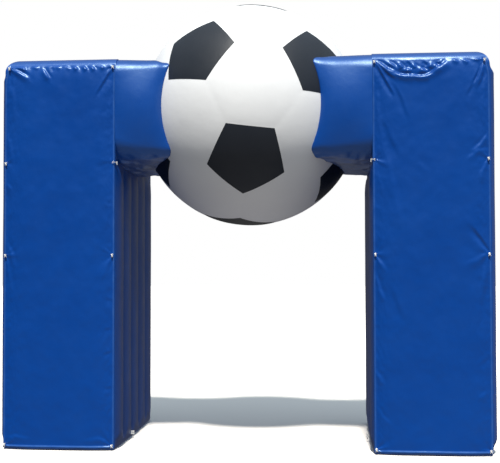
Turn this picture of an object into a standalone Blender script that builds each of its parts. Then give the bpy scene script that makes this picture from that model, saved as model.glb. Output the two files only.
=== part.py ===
"""Inflatable football arch.

Two baffled legs carry two short arms, and the arms hold a football between them. Each leg wears a
loose front banner, tied on through its eyelets with short white cords. Sizes are in metres, with +X to
the right, +Y to the back and +Z up. The origin is on the ground, below the middle of the ball.
"""
import math
from collections import namedtuple

import bmesh
import bpy
from mathutils import Matrix, Vector

# Driving sizes
GAP = 0.0003                 # clearance between pieces that touch
HALF_WALKWAY = 1.303         # from the middle of the arch to the inner seam of a leg
LEG_WIDTH = 1.152
LEG_DEPTH = 1.902
LEG_HEIGHT = 4.0
BALL_RADIUS = 1.203
BALL_HEIGHT = 3.509          # the middle of the ball above the ground

# Legs: vertical cells between inner webs, drawn in at the foot and under the arm
FRONT = -LEG_DEPTH / 2
BACK = LEG_DEPTH / 2
LEG_OUTER = HALF_WALKWAY + LEG_WIDTH
STEPS_PER_CELL = 4
FOOT_HEIGHT = 0.36           # below it the cells run into each other
FOOT_MERGE = 0.20
BASE_ROLL = 0.014            # how far the bottom edge turns in
BASE_ROLL_HEIGHT = 0.05
TOP_ROLL_HEIGHT = 0.14
TOP_ROLL = 0.14              # how far the front and back turn in at the top
SHOULDER_ROLL = 0.17         # the same at the outer side
TOP_MERGE = 0.16             # below the top roll the cells run into each other
TOP_CROWN = 0.004
MERGED_SHARE = 0.8           # depth of the smooth bulge where the cells have run together
ARM_SEAT = 2.88              # above it the inner side is flat against the arm
SEAT_ROLL = 0.22
Side = namedtuple("Side", "name cells depth")
SIDES = (Side("front", 3, 0.018), Side("outer", 5, 0.065), Side("back", 3, 0.060),
         Side("inner", 5, 0.032))

# Arms: rounded beams from the leg to the ball, level with the leg at its top and flush with it in
# front, a little different on the two sides
ARM_TOP = 3.998
ARM_CORNER = 0.13
ARM_BACK = 0.90
ARM_INNER_END = 0.35         # the beam's end before the ball is cut out of it
ARM_STATIONS = 5
CORNER_STEPS = 3
Arm = namedtuple("Arm", "front_at_leg front_at_ball low_at_leg low_at_ball")
ARMS = {-1: Arm(-0.940, -0.780, 2.950, 2.965), 1: Arm(-0.940, -0.852, 2.945, 2.915)}
ARM_DRAW = 1.5               # the arm draws in slowly at the leg and faster towards the ball
ARM_DRAWN_AT = 0.625         # share of its length at which it is drawn in all the way
ARM_BULGE = {"front": 0.035, "low": 0.030, "back": 0.035, "top": 0.006}
SEAM_SWELL = 0.35            # share of the bulge that is left at the seam on the leg
SWELL_RUN = 1.2

# Ball: twelve dark five-sided panels on a white skin
PATCH_STEPS = 3
BALL_TURN_AXIS = Vector((-0.0823, 0.7152, 0.6940))
BALL_TURN = math.radians(153.8)
PANEL_THICKNESS = 0.0024
CUP_CLEARANCE = 0.0034

# Banners: loose sheets over the front of the legs
CLOTH = 0.002
BANNER_LOW = 0.030
BANNER_HIGH = 3.925
BANNER_EDGE = 0.003          # from the leg's corners
BANNER_CLEARANCE = 0.007
BANNER_SWELL = 0.044
FLAT_POWER = 4               # the cloth stays flat in the middle and turns near its edges
FOLD_ROOM = 0.5              # folds die out where the cloth lies close to the leg's corner
BANNER_LEAN = 0.009          # the top hem leans back over the roll of the leg
LEAN_HEIGHT = 0.10
TOP_CORNER_DRAW = 0.032      # the outer top corner is drawn in
DRAW_HEIGHT = 0.22
BANNER_COLUMNS = 14
BANNER_ROWS = 24
ROW_CROWDING = 1.6           # rows lie closer together towards the top, where most folds are

# Eyelets and ties
RING_RADIUS = 0.0095
RING_WIRE = 0.0035
EYELET_HOLE = 0.0133
EYELET_INSET = 0.018         # from the banner's edge
CORD_RADIUS = 0.003
CORD_LIFT = 0.0045           # the cord's middle above what it passes over
KNOT = Vector((0.0135, 0.0100, 0.0135))
KNOT_SEAT = 0.55             # share of the knot's depth by which its middle stands off
TIE_END = 0.024
SWING = math.radians(22.0)   # how far a tie's two ends hang apart, and how much that differs
SWING_CHANGE = math.radians(10.0)
SWING_STEP = math.radians(137.5)
Row = namedtuple("Row", "name height round_corner")
EYELET_ROWS = (Row("foot", 0.052, False), Row("waist", 1.973, False), Row("arm", 2.915, True),
               Row("top", 3.895, False))
CORNER_REACH = 0.020         # the inner ties under the arms sit this far round the leg's corner

# Ground rings on the inner sides
TAB_PLACE = -0.273
TAB_REACH = 0.045
TAB_LOW = 0.046
TAB_HEIGHT = 0.040
TAB_THICKNESS = 0.003
TAB_HOLE = 0.0065
TAB_HOLE_REACH = 0.031
RING_MAJOR = 0.018
RING_MINOR = 0.003

# Folds of the banners, in metres from the leg's inner seam and from the ground: a ridge stands out
# where its height is positive and a trough sinks in where it is negative
Fold = namedtuple("Fold", "across_a up_a across_b up_b width height")
FOLDS = {
    -1: (Fold(1.04, 3.88, 0.90, 3.77, 0.05, 0.014),
         Fold(0.74, 3.87, 0.68, 3.79, 0.05, 0.012),
         Fold(0.42, 3.90, 0.19, 3.86, 0.05, 0.008),
         Fold(1.09, 3.83, 1.04, 3.46, 0.06, 0.008),
         Fold(0.03, 3.85, 0.18, 3.60, 0.06, -0.009),
         Fold(1.11, 2.12, 1.03, 1.70, 0.07, 0.007)),
    1: (Fold(0.07, 3.86, 0.26, 3.73, 0.07, 0.018),
        Fold(0.26, 3.73, 0.57, 3.73, 0.07, 0.020),
        Fold(0.57, 3.73, 0.74, 3.87, 0.07, 0.016),
        Fold(0.30, 3.84, 0.58, 3.84, 0.06, -0.012),
        Fold(0.02, 3.88, 0.20, 3.53, 0.07, 0.010),
        Fold(0.13, 3.60, 0.26, 2.22, 0.10, 0.008),
        Fold(1.10, 3.85, 1.03, 3.70, 0.06, 0.009),
        Fold(0.95, 2.23, 1.11, 2.00, 0.06, -0.009),
        Fold(0.03, 1.95, 0.10, 1.50, 0.07, 0.008)),
}

# Colours, roughness and metallic values
BLUE = ((0.006, 0.055, 0.300, 1.0), 0.38, 0.0)
BANNER_BLUE = ((0.005, 0.060, 0.330, 1.0), 0.42, 0.0)
WHITE = ((0.78, 0.79, 0.80, 1.0), 0.45, 0.0)
BLACK = ((0.022, 0.024, 0.032, 1.0), 0.42, 0.0)
CORD_WHITE = ((0.80, 0.80, 0.78, 1.0), 0.80, 0.0)
METAL = ((0.75, 0.76, 0.78, 1.0), 0.30, 1.0)


def clear_scene():
    for item in list(bpy.data.objects):
        bpy.data.objects.remove(item, do_unlink=True)


def make_material(name, finish):
    color, roughness, metallic = finish
    material = bpy.data.materials.new(name)
    material.use_nodes = True
    shader = material.node_tree.nodes["Principled BSDF"]
    shader.inputs["Base Color"].default_value = color
    shader.inputs["Roughness"].default_value = roughness
    shader.inputs["Metallic"].default_value = metallic
    return material


def add_object(name, mesh_data, finish, smooth_angle=None):
    """Turn a bmesh into one named object with its own material."""
    bmesh.ops.recalc_face_normals(mesh_data, faces=mesh_data.faces)
    mesh = bpy.data.meshes.new(name)
    mesh_data.to_mesh(mesh)
    mesh_data.free()
    if smooth_angle is not None:
        mesh.shade_smooth()
        mesh.set_sharp_from_angle(angle=math.radians(smooth_angle))
    item = bpy.data.objects.new(name, mesh)
    item.data.materials.append(make_material(name, finish))
    bpy.context.scene.collection.objects.link(item)
    return item


def ease(value):
    value = min(max(value, 0.0), 1.0)
    return value * value * (3.0 - 2.0 * value)


def quarter(value):
    """A quarter round: 0 at 0, rising steeply to 1 at 1."""
    value = min(max(value, 0.0), 1.0)
    return math.sqrt(1.0 - (1.0 - value) ** 2)


def side_name(side):
    return "right" if side > 0 else "left"


# Rings of points and the skins between them

def bridge(mesh_data, lower, upper):
    count = len(lower)
    for index in range(count):
        following = (index + 1) % count
        mesh_data.faces.new((lower[index], lower[following], upper[following], upper[index]))


def tube(points, radii, sides):
    """A closed tube along a list of points, as a bmesh."""
    mesh_data = bmesh.new()
    rings = []
    for index, point in enumerate(points):
        before = points[max(index - 1, 0)]
        after = points[min(index + 1, len(points) - 1)]
        along = (after - before).normalized()
        across = along.cross(Vector((0.31, 0.22, 0.93))).normalized()
        up = across.cross(along)
        ring = []
        for step in range(sides):
            angle = math.tau * step / sides
            offset = across * math.cos(angle) + up * math.sin(angle)
            ring.append(mesh_data.verts.new(point + offset * radii[index]))
        rings.append(ring)
    for lower, upper in zip(rings, rings[1:]):
        bridge(mesh_data, lower, upper)
    mesh_data.faces.new(rings[0])
    mesh_data.faces.new(rings[-1])
    return mesh_data


def ring_mesh(middle, axis, major, minor, major_steps, minor_steps):
    """A plain round ring about an axis."""
    mesh_data = bmesh.new()
    turn = axis.to_track_quat("Z", "Y").to_matrix()
    rings = []
    for step in range(major_steps):
        angle = math.tau * step / major_steps
        outward = Vector((math.cos(angle), math.sin(angle), 0.0))
        ring = []
        for part in range(minor_steps):
            tilt = math.tau * (part + 0.5) / minor_steps
            local = outward * (major + minor * math.cos(tilt)) + Vector((0, 0, minor * math.sin(tilt)))
            ring.append(mesh_data.verts.new(middle + turn @ local))
        rings.append(ring)
    for index, ring in enumerate(rings):
        bridge(mesh_data, ring, rings[(index + 1) % major_steps])
    return mesh_data


def apply_boolean(item, tool, operation):
    """Join a tool to an item or cut it out, then drop the tool."""
    tool.hide_render = True
    tool.display_type = "WIRE"
    modifier = item.modifiers.new("shape", "BOOLEAN")
    modifier.operation = operation
    modifier.solver = "EXACT"
    modifier.object = tool
    bpy.context.view_layer.update()
    evaluated = item.evaluated_get(bpy.context.evaluated_depsgraph_get())
    shaped = bpy.data.meshes.new_from_object(evaluated)
    item.modifiers.clear()
    old = item.data
    item.data = shaped
    shaped.name = item.name
    bpy.data.meshes.remove(old)
    bpy.data.objects.remove(tool, do_unlink=True)


def plain_tool(mesh_data):
    bmesh.ops.recalc_face_normals(mesh_data, faces=mesh_data.faces)
    mesh = bpy.data.meshes.new("tool")
    mesh_data.to_mesh(mesh)
    mesh_data.free()
    item = bpy.data.objects.new("tool", mesh)
    bpy.context.scene.collection.objects.link(item)
    return item


# Legs

def roll_in(height, reach):
    """How far a wall has turned in at this height, at the bottom edge and at the top roll."""
    inset = BASE_ROLL * (1.0 - quarter(height / BASE_ROLL_HEIGHT))
    above = max(height - (LEG_HEIGHT - TOP_ROLL_HEIGHT), 0.0) / TOP_ROLL_HEIGHT
    return inset + reach * (1.0 - math.sqrt(max(1.0 - above * above, 0.0)))


def cell_share(height):
    """1 where the cells stand apart, 0 where they have run into one smooth bulge."""
    foot = ease((height - FOOT_MERGE) / (FOOT_HEIGHT - FOOT_MERGE))
    top_edge = LEG_HEIGHT - TOP_ROLL_HEIGHT
    return foot * ease((top_edge - height) / TOP_MERGE)


def swell_share(name, height):
    """How much of the cells' depth is left at this height."""
    share = quarter(height / FOOT_HEIGHT)
    if name == "inner":
        return share * quarter((ARM_SEAT - height) / SEAT_ROLL)
    above = max(height - (LEG_HEIGHT - TOP_ROLL_HEIGHT), 0.0) / TOP_ROLL_HEIGHT
    return share * math.sqrt(max(1.0 - above * above, 0.0))


def wall_swell(side, along, height):
    """How far a wall stands out from its seam line; along runs from 0 to 1 over the wall."""
    place = (along * side.cells) % 1.0
    cell = 4.0 * place * (1.0 - place)
    merged = MERGED_SHARE * (1.0 - abs(2.0 * along - 1.0) ** FLAT_POWER)
    share = cell_share(height)
    return side.depth * swell_share(side.name, height) * (share * cell + (1.0 - share) * merged)


def leg_ring(height):
    """One level outline of the right leg, from the inner front corner round by the outer side."""
    front = FRONT + roll_in(height, TOP_ROLL)
    back = BACK - roll_in(height, TOP_ROLL)
    outer = LEG_OUTER - roll_in(height, SHOULDER_ROLL)
    inner = HALF_WALKWAY + roll_in(height, 0.0)
    corners = (Vector((inner, front)), Vector((outer, front)), Vector((outer, back)), Vector((inner, back)))
    points = []
    for index, side in enumerate(SIDES):
        start = corners[index]
        end = corners[(index + 1) % 4]
        along = (end - start).normalized()
        outward = Vector((along.y, -along.x))
        count = side.cells * STEPS_PER_CELL
        for step in range(count):
            part = step / count
            swell = wall_swell(side, part, height)
            flat = start.lerp(end, part) + outward * swell
            points.append(Vector((flat.x, flat.y, height)))
    return points


def leg_heights():
    foot = [FOOT_HEIGHT * share for share in (0.0, 0.04, 0.14, 0.36, 0.62, 1.0)]
    seat = [ARM_SEAT - SEAT_ROLL * share for share in (1.0, 0.35, 0.0)]
    top_edge = LEG_HEIGHT - TOP_ROLL_HEIGHT
    top = [top_edge - TOP_MERGE] + [top_edge + TOP_ROLL_HEIGHT * share for share in (0.0, 0.45, 0.80, 1.0)]
    return foot + [(foot[-1] + seat[0]) / 2] + seat + top


def top_panel(mesh_data, ring):
    """Fill the top of a leg with a grid that joins its four walls, with a slight crown."""
    across = SIDES[0].cells * STEPS_PER_CELL
    deep = SIDES[1].cells * STEPS_PER_CELL
    rows = []
    for row in range(deep + 1):
        line = []
        for column in range(across + 1):
            if row == 0:
                line.append(ring[column])
            elif row == deep:
                line.append(ring[2 * across + deep - column])
            elif column == across:
                line.append(ring[across + row])
            elif column == 0:
                line.append(ring[(2 * across + 2 * deep - row) % len(ring)])
            else:
                u = column / across
                v = row / deep
                low = ring[column].co.lerp(ring[2 * across + deep - column].co, v)
                crown = TOP_CROWN * min(1.0, 16.0 * u * (1.0 - u) * v * (1.0 - v))
                line.append(mesh_data.verts.new((low.x, low.y, low.z + crown)))
        rows.append(line)
    for lower, upper in zip(rows, rows[1:]):
        for column in range(across):
            mesh_data.faces.new((lower[column], lower[column + 1], upper[column + 1], upper[column]))


def build_leg(side):
    mesh_data = bmesh.new()
    rings = []
    for height in leg_heights():
        rings.append([mesh_data.verts.new((side * p.x, p.y, p.z)) for p in leg_ring(height)])
    for lower, upper in zip(rings, rings[1:]):
        bridge(mesh_data, lower, upper)
    mesh_data.faces.new(rings[0])
    top_panel(mesh_data, rings[-1])
    return add_object(side_name(side) + "_leg", mesh_data, BLUE, smooth_angle=35)


# Ball

def ball_patches():
    """The twelve five-sided and twenty six-sided patches, as a middle and its corners."""
    golden = (1.0 + math.sqrt(5.0)) / 2.0
    tips = []
    for a in (-1.0, 1.0):
        for b in (-golden, golden):
            tips += [Vector((0, a, b)), Vector((a, b, 0)), Vector((b, 0, a))]
    turn = Matrix.Rotation(BALL_TURN, 3, BALL_TURN_AXIS.normalized())
    tips = [(turn @ tip).normalized() for tip in tips]
    side_by_side = 1.0 / math.sqrt(5.0)
    near = []
    for tip in tips:
        near.append([j for j in range(12) if abs(tip.dot(tips[j]) - side_by_side) < 1e-4])
    fives = []
    for i in range(12):
        corners = [((2 * tips[i] + tips[j]) / 3).normalized() for j in near[i]]
        fives.append((tips[i], sort_round(tips[i], corners)))
    sixes = []
    for i in range(12):
        for j in near[i]:
            for k in near[i]:
                if i < j < k and k in near[j]:
                    pairs = ((i, j), (j, i), (j, k), (k, j), (k, i), (i, k))
                    corners = [((2 * tips[a] + tips[b]) / 3).normalized() for a, b in pairs]
                    sixes.append(((tips[i] + tips[j] + tips[k]).normalized(), corners))
    return fives, sixes


def sort_round(middle, corners):
    first = (corners[0] - middle * middle.dot(corners[0])).normalized()
    second = middle.cross(first)
    return sorted(corners, key=lambda c: math.atan2(c.dot(second), c.dot(first)))


def patch_points(middle, a, b):
    """Rows of unit points over one slice of a patch, from its middle to its edge."""
    rows = []
    for row in range(PATCH_STEPS + 1):
        line = []
        for column in range(row + 1):
            toward_b = column / PATCH_STEPS
            toward_a = (row - column) / PATCH_STEPS
            rest = 1.0 - toward_a - toward_b
            line.append((middle * rest + a * toward_a + b * toward_b).normalized())
        rows.append(line)
    return rows


def add_patch(mesh_data, middle, corners, radius):
    centre = Vector((0, 0, BALL_HEIGHT))
    for index, a in enumerate(corners):
        b = corners[(index + 1) % len(corners)]
        rows = []
        for line in patch_points(middle, a, b):
            rows.append([mesh_data.verts.new(centre + unit * radius) for unit in line])
        for upper, lower in zip(rows, rows[1:]):
            for column in range(len(upper)):
                mesh_data.faces.new((upper[column], lower[column], lower[column + 1]))
                if column + 1 < len(upper):
                    mesh_data.faces.new((upper[column], lower[column + 1], upper[column + 1]))
    bmesh.ops.remove_doubles(mesh_data, verts=mesh_data.verts, dist=1e-5)


def ball_mesh(radius):
    mesh_data = bmesh.new()
    fives, sixes = ball_patches()
    for middle, corners in fives + sixes:
        add_patch(mesh_data, middle, corners, radius)
    return mesh_data


def build_ball():
    return add_object("ball", ball_mesh(BALL_RADIUS), WHITE, smooth_angle=35)


def build_panel(number, middle, corners):
    """One dark panel: a curved sheet that lies on the ball's skin."""
    mesh_data = bmesh.new()
    add_patch(mesh_data, middle, corners, BALL_RADIUS + GAP)
    made = bmesh.ops.extrude_face_region(mesh_data, geom=list(mesh_data.faces), use_keep_orig=True)
    lifted = [item for item in made["geom"] if isinstance(item, bmesh.types.BMVert)]
    centre = Vector((0, 0, BALL_HEIGHT))
    for vert in lifted:
        outward = (vert.co - centre).normalized()
        vert.co = centre + outward * (BALL_RADIUS + GAP + PANEL_THICKNESS)
    return add_object(f"dark_panel_{number:02d}", mesh_data, BLACK, smooth_angle=35)


# Arms

def arm_outline(front, low, swell):
    """The arm's rounded section, as y and z, with its faces bulging by a share of their depth."""
    r = ARM_CORNER
    corners = ((front + r, low + r, 180), (ARM_BACK - r, low + r, 270), (ARM_BACK - r, ARM_TOP - r, 0),
               (front + r, ARM_TOP - r, 90))
    faces = (("low", 8), ("back", 4), ("top", 8), ("front", 4))
    points = []
    for index, (y, z, start) in enumerate(corners):
        for step in range(CORNER_STEPS + 1):
            angle = math.radians(start + 90.0 * step / CORNER_STEPS)
            points.append(Vector((y + r * math.cos(angle), z + r * math.sin(angle))))
        name, steps = faces[index]
        next_y, next_z, next_start = corners[(index + 1) % 4]
        angle = math.radians(next_start)
        outward = Vector((math.cos(angle), math.sin(angle)))
        first = points[-1].copy()
        last = Vector((next_y, next_z)) + outward * r
        for step in range(1, steps):
            part = step / steps
            bulge = 4.0 * part * (1.0 - part) * ARM_BULGE[name] * swell
            points.append(first.lerp(last, part) + outward * bulge)
    return points


def build_arm(side):
    arm = ARMS[side]
    mesh_data = bmesh.new()
    rings = []
    start = HALF_WALKWAY - GAP
    for station in range(ARM_STATIONS):
        part = station / (ARM_STATIONS - 1)
        x = start + (ARM_INNER_END - start) * part
        toward_ball = min(part / ARM_DRAWN_AT, 1.0) ** ARM_DRAW
        front = arm.front_at_leg + (arm.front_at_ball - arm.front_at_leg) * toward_ball
        low = arm.low_at_leg + (arm.low_at_ball - arm.low_at_leg) * toward_ball
        swell = SEAM_SWELL + (1.0 - SEAM_SWELL) * math.sin(math.pi * min(part * SWELL_RUN, 1.0))
        outline = arm_outline(front, low, swell)
        rings.append([mesh_data.verts.new((side * x, p.x, p.y)) for p in outline])
    for lower, upper in zip(rings, rings[1:]):
        bridge(mesh_data, lower, upper)
    mesh_data.faces.new(rings[0])
    mesh_data.faces.new(rings[-1])
    item = add_object(side_name(side) + "_arm", mesh_data, BLUE, smooth_angle=35)
    apply_boolean(item, plain_tool(ball_mesh(BALL_RADIUS + CUP_CLEARANCE)), "DIFFERENCE")
    return item


# Banners

def fold_lift(fold, across, up):
    """The lift of one fold at a point of the banner, fading to its sides and its ends."""
    a = Vector((fold.across_a, fold.up_a))
    b = Vector((fold.across_b, fold.up_b))
    run = b - a
    part = (Vector((across, up)) - a).dot(run) / run.length_squared
    nearest = a + run * min(max(part, 0.0), 1.0)
    distance = (Vector((across, up)) - nearest).length
    if distance >= fold.width:
        return 0.0
    return fold.height * math.cos(0.5 * math.pi * distance / fold.width) ** 2


def banner_edge(up):
    """How far the banner's outer edge is drawn in at this height."""
    return TOP_CORNER_DRAW * ease((up - (BANNER_HIGH - DRAW_HEIGHT)) / DRAW_HEIGHT)


def banner_front(side, across, up):
    """The y of the banner's outer face, across metres from the inner seam."""
    share = across / LEG_WIDTH
    swell = BANNER_CLEARANCE + BANNER_SWELL * (1.0 - abs(2.0 * share - 1.0) ** FLAT_POWER)
    folds = sum(fold_lift(fold, across, up) for fold in FOLDS[side])
    lean = BANNER_LEAN * ease((up - (BANNER_HIGH - LEAN_HEIGHT)) / LEAN_HEIGHT)
    room = min(1.0, swell / (BANNER_SWELL * FOLD_ROOM))
    return FRONT - swell - folds * room - CLOTH + lean


def banner_rows():
    height = BANNER_HIGH - BANNER_LOW
    shares = [row / BANNER_ROWS for row in range(BANNER_ROWS + 1)]
    return [BANNER_LOW + height * (1.0 - (1.0 - share) ** ROW_CROWDING) for share in shares]


def banner_columns():
    return [0.5 - 0.5 * math.cos(math.pi * column / BANNER_COLUMNS) for column in range(BANNER_COLUMNS + 1)]


def build_banner(side):
    mesh_data = bmesh.new()
    sheets = []
    for depth in (0.0, CLOTH):
        rows = []
        for up in banner_rows():
            line = []
            width = LEG_WIDTH - 2 * BANNER_EDGE - banner_edge(up)
            for share in banner_columns():
                across = BANNER_EDGE + width * share
                y = banner_front(side, across, up) + depth
                line.append(mesh_data.verts.new((side * (HALF_WALKWAY + across), y, up)))
            rows.append(line)
        sheets.append(rows)
    for rows in sheets:
        for lower, upper in zip(rows, rows[1:]):
            for column in range(BANNER_COLUMNS):
                mesh_data.faces.new((lower[column], lower[column + 1], upper[column + 1], upper[column]))
    bridge(mesh_data, sheet_rim(sheets[0]), sheet_rim(sheets[1]))
    item = add_object(side_name(side) + "_banner", mesh_data, BANNER_BLUE, smooth_angle=40)
    for across, up in eyelet_places():
        y = banner_front(side, across, up)
        middle = Vector((side * (HALF_WALKWAY + across), y, up))
        hole = tube([middle + Vector((0, -0.02, 0)), middle + Vector((0, 0.02, 0))], [EYELET_HOLE] * 2, 10)
        apply_boolean(item, plain_tool(hole), "DIFFERENCE")
    return item


def sheet_rim(rows):
    """The edge points of a grid, in order round it."""
    right = [line[-1] for line in rows[1:]]
    top = list(reversed(rows[-1][:-1]))
    left = [line[0] for line in reversed(rows[1:-1])]
    return rows[0] + right + top + left


# Eyelets and ties

def eyelet_across(row, outer):
    if outer:
        return LEG_WIDTH - BANNER_EDGE - banner_edge(row.height) - EYELET_INSET
    return BANNER_EDGE + EYELET_INSET


def eyelet_places():
    return [(eyelet_across(row, outer), row.height) for row in EYELET_ROWS for outer in (False, True)]


def build_eyelet(side, row, outer):
    across = eyelet_across(row, outer)
    y = banner_front(side, across, row.height) + CLOTH / 2
    middle = Vector((side * (HALF_WALKWAY + across), y, row.height))
    mesh_data = ring_mesh(middle, Vector((0, 1, 0)), RING_RADIUS, RING_WIRE, 8, 4)
    return add_object(piece_name("eyelet", side, row, outer), mesh_data, METAL, smooth_angle=50)


def piece_name(kind, side, row, outer):
    place = "outer" if outer else "inner"
    return f"{kind}_{side_name(side)}_{place}_{row.name}"


def side_surface(outer, back_from_corner, height):
    """The x of a leg's outer or inner wall, a given distance behind its front seam."""
    side = SIDES[1] if outer else SIDES[3]
    share = back_from_corner / LEG_DEPTH
    swell = wall_swell(side, share if outer else 1.0 - share, height)
    if outer:
        return LEG_OUTER - roll_in(height, SHOULDER_ROLL) + swell
    return HALF_WALKWAY + roll_in(height, 0.0) - swell


def nearest_front(side, across, up):
    """The foremost y of the banner round an eyelet and below it, where the tie's ends hang."""
    spots = [(dx, dz) for dx in (-KNOT.x, 0.0, KNOT.x) for dz in (-TIE_END, 0.0, KNOT.z)]
    return min(banner_front(side, max(across + dx, 0.0), up + dz) for dx, dz in spots)


def straight_route(side, row, outer, leg):
    """The cord's way from its knot through the eyelet to the front of the leg."""
    across = eyelet_across(row, outer)
    front = nearest_front(side, across, row.height) - RING_WIRE - CORD_LIFT
    knot = Vector((side * (HALF_WALKWAY + across), front, row.height))
    _, seat, _, _ = leg.ray_cast(knot, Vector((0, 1, 0)))
    return [knot, seat - Vector((0, CORD_RADIUS / 2, 0))]


def corner_route(side, row):
    """The cord's way from the inner eyelet over the banner's edge to its knot round the corner."""
    across = eyelet_across(row, False)
    front = nearest_front(side, across, row.height) - RING_WIRE - CORD_LIFT
    start = (HALF_WALKWAY + across, front)
    past_ring = (HALF_WALKWAY + across - RING_RADIUS - RING_WIRE - CORD_RADIUS, front)
    over = (HALF_WALKWAY + BANNER_EDGE - CORD_LIFT, banner_front(side, BANNER_EDGE, row.height) - CORD_LIFT)
    wall = side_surface(False, CORNER_REACH, row.height)
    end = (wall - CORD_LIFT, FRONT + CORNER_REACH)
    return [Vector((side * x, y, row.height)) for x, y in (start, past_ring, over, end)]


def knot_mesh(middle):
    mesh_data = bmesh.new()
    bmesh.ops.create_uvsphere(mesh_data, u_segments=6, v_segments=4, radius=1.0)
    for vert in mesh_data.verts:
        vert.co = middle + Vector((vert.co.x * KNOT.x, vert.co.y * KNOT.y, vert.co.z * KNOT.z))
    return mesh_data


def build_tie(side, row, outer, number, leg):
    if row.round_corner and not outer:
        route = corner_route(side, row)
        outward = Vector((-side, 0, 0))
        spread = Vector((0, 1, 0))
        middle = route[-1] + outward * KNOT.x * KNOT_SEAT
    else:
        route = straight_route(side, row, outer, leg)
        outward = Vector((0, -1, 0))
        spread = Vector((1, 0, 0))
        middle = route[0] + outward * KNOT.y * KNOT_SEAT
    cord = tube(route, [CORD_RADIUS] * len(route), 5)
    item = add_object(piece_name("tie", side, row, outer), cord, CORD_WHITE)
    apply_boolean(item, plain_tool(knot_mesh(middle)), "UNION")
    for turn in (-1, 1):
        swing = SWING + SWING_CHANGE * math.sin(number * SWING_STEP + turn)
        way = spread * (turn * math.sin(swing)) - Vector((0, 0, math.cos(swing)))
        tip = middle + way * TIE_END + outward * CORD_RADIUS
        end = tube([middle + outward * CORD_RADIUS, tip], [CORD_RADIUS, CORD_RADIUS], 5)
        apply_boolean(item, plain_tool(end), "UNION")
    return item


# Ground rings

def build_ground_ring(side):
    """A webbing tab on the inner side, with a ring that hangs through it."""
    name = side_name(side)
    wall = side_surface(False, TAB_PLACE - FRONT, TAB_LOW + TAB_HEIGHT) - 2 * GAP
    tip = wall - TAB_REACH
    mesh_data = bmesh.new()
    bmesh.ops.create_cube(mesh_data, size=1.0)
    size = Vector((TAB_REACH, TAB_THICKNESS, TAB_HEIGHT))
    middle = Vector((side * (wall + tip) / 2, TAB_PLACE, TAB_LOW + TAB_HEIGHT / 2))
    for vert in mesh_data.verts:
        vert.co = middle + Vector((vert.co.x * size.x, vert.co.y * size.y, vert.co.z * size.z))
    tab = add_object(name + "_ground_tab", mesh_data, CORD_WHITE)
    eye = Vector((side * (wall - TAB_HOLE_REACH), TAB_PLACE, TAB_LOW + TAB_HEIGHT / 2))
    hole = tube([eye + Vector((0, -0.01, 0)), eye + Vector((0, 0.01, 0))], [TAB_HOLE] * 2, 10)
    apply_boolean(tab, plain_tool(hole), "DIFFERENCE")
    drop = TAB_HOLE - RING_MINOR - 2 * GAP
    ring_middle = eye - Vector((0, 0, drop + RING_MAJOR))
    ring = ring_mesh(ring_middle, Vector((1, 0, 0)), RING_MAJOR, RING_MINOR, 12, 5)
    add_object(name + "_ground_ring", ring, METAL, smooth_angle=50)


def build_arch():
    clear_scene()
    build_ball()
    fives, _ = ball_patches()
    for number, (middle, corners) in enumerate(fives):
        build_panel(number, middle, corners)
    number = 0
    for side in (-1, 1):
        leg = build_leg(side)
        bpy.context.view_layer.update()
        build_arm(side)
        build_banner(side)
        for row in EYELET_ROWS:
            for outer in (False, True):
                build_eyelet(side, row, outer)
                build_tie(side, row, outer, number, leg)
                number += 1
        build_ground_ring(side)


build_arch()
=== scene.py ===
"""The looks of the inflatable football arch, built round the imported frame."""
import math
from collections import namedtuple

import bmesh
import bpy
from mathutils import Matrix, Vector, noise


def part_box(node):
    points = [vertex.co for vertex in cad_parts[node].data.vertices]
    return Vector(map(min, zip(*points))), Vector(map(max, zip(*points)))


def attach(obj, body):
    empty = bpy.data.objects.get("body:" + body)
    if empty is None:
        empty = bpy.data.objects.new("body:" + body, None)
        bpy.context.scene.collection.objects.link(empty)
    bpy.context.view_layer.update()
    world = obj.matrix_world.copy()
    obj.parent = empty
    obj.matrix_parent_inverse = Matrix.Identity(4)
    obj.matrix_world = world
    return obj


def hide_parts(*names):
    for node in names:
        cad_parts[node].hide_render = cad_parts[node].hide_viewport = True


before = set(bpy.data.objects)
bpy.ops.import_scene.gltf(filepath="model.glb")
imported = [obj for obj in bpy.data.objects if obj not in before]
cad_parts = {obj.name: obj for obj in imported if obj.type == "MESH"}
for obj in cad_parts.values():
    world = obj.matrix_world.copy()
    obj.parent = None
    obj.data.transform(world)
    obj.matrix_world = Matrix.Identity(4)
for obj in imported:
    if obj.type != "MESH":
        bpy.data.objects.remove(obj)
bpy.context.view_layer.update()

# Sizes that follow from the frame
LEG_LOW, LEG_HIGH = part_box("right_leg")
CELL_DEPTH = {"front": 0.018, "outer": 0.065, "back": 0.060, "inner": 0.032}
FRONT = LEG_LOW.y + CELL_DEPTH["front"]
BACK = LEG_HIGH.y - CELL_DEPTH["back"]
INNER = LEG_LOW.x + CELL_DEPTH["inner"]
OUTER = LEG_HIGH.x - CELL_DEPTH["outer"]
LEG_WIDTH = OUTER - INNER
LEG_DEPTH = BACK - FRONT

# Ball, turned so far about its axis from a regular stance
BALL_MIDDLE = Vector((0.0, 0.0, 3.509))
BALL_RADIUS = 1.203
BALL_TURN = math.radians(153.8)
BALL_AXIS = Vector((-0.0823, 0.7152, 0.6940))
PANEL_LIFT = 0.0004
PANEL_CLOTH = 0.0018

# Legs
HEIGHT = 4.0
FOOT_HEIGHT = 0.15
FOOT_MERGE = 0.03
BASE_ROLL = 0.014
BASE_ROLL_HEIGHT = 0.05
TOP_ROLL_HEIGHT = 0.14
TOP_ROLL = 0.14
SHOULDER_ROLL = 0.155
TOP_MERGE = 0.08
ARM_SEAT = 2.88
SEAT_ROLL = 0.22
WALLS = (("front", 3), ("outer", 5), ("back", 3), ("inner", 5))
WALL_INDEX = {name: index for index, (name, cells) in enumerate(WALLS)}

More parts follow.
